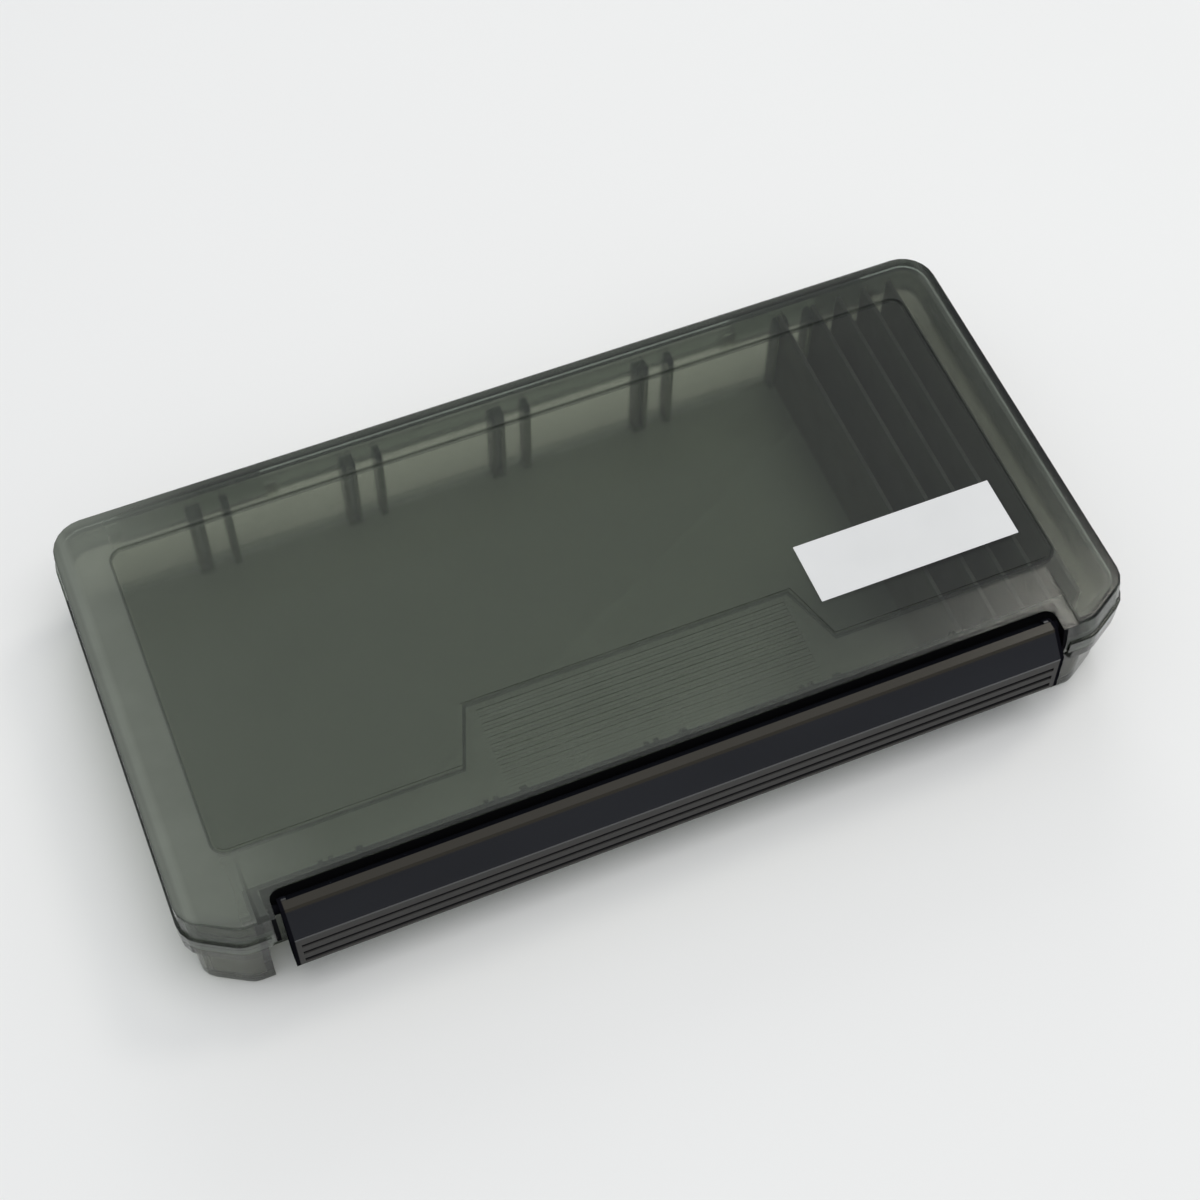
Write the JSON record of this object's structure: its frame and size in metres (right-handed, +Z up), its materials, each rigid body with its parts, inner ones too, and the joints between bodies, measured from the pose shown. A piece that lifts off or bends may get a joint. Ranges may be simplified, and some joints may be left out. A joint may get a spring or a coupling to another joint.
{
  "type": "compartment storage case",
  "caption": "Flat see-through plastic compartment case with a hinged lid, a full-width front latch bar, wall slots and upright divider plates.",
  "frame": {"origin": "centre of the closed case in plan, on the surface it rests on", "axes": "+X along the case to the right, +Y to the hinges at the back, +Z up; the latch faces -Y"},
  "size_m": [0.233, 0.122, 0.0321],
  "materials": {
    "smoke_plastic": "satin translucent",
    "smoke_plastic_lid": "gloss translucent",
    "black_plastic": "gloss",
    "white_label": "satin",
    "divider_plastic": "satin translucent"
  },
  "bodies": {
    "case": {"case_body": "smoke_plastic", "divider_1": "divider_plastic", "divider_2": "divider_plastic", "divider_3": "divider_plastic", "divider_4": "divider_plastic", "divider_5": "divider_plastic"},
    "lid": {"lid": "smoke_plastic_lid", "label": "white_label"},
    "latch": {"latch_bar": "black_plastic"}
  },
  "joints": [
    {"name": "lid_hinge", "type": "hinge", "parent": "case", "child": "lid", "pos_m": [0, 0.0588, 0.0218], "axis": [-1, 0, 0], "range_deg": [0, 150]},
    {"name": "latch_hinge", "type": "hinge", "parent": "lid", "child": "latch", "pos_m": [0, -0.053, 0.029], "axis": [-1, 0, 0], "range_deg": [0, 100]}
  ]
}
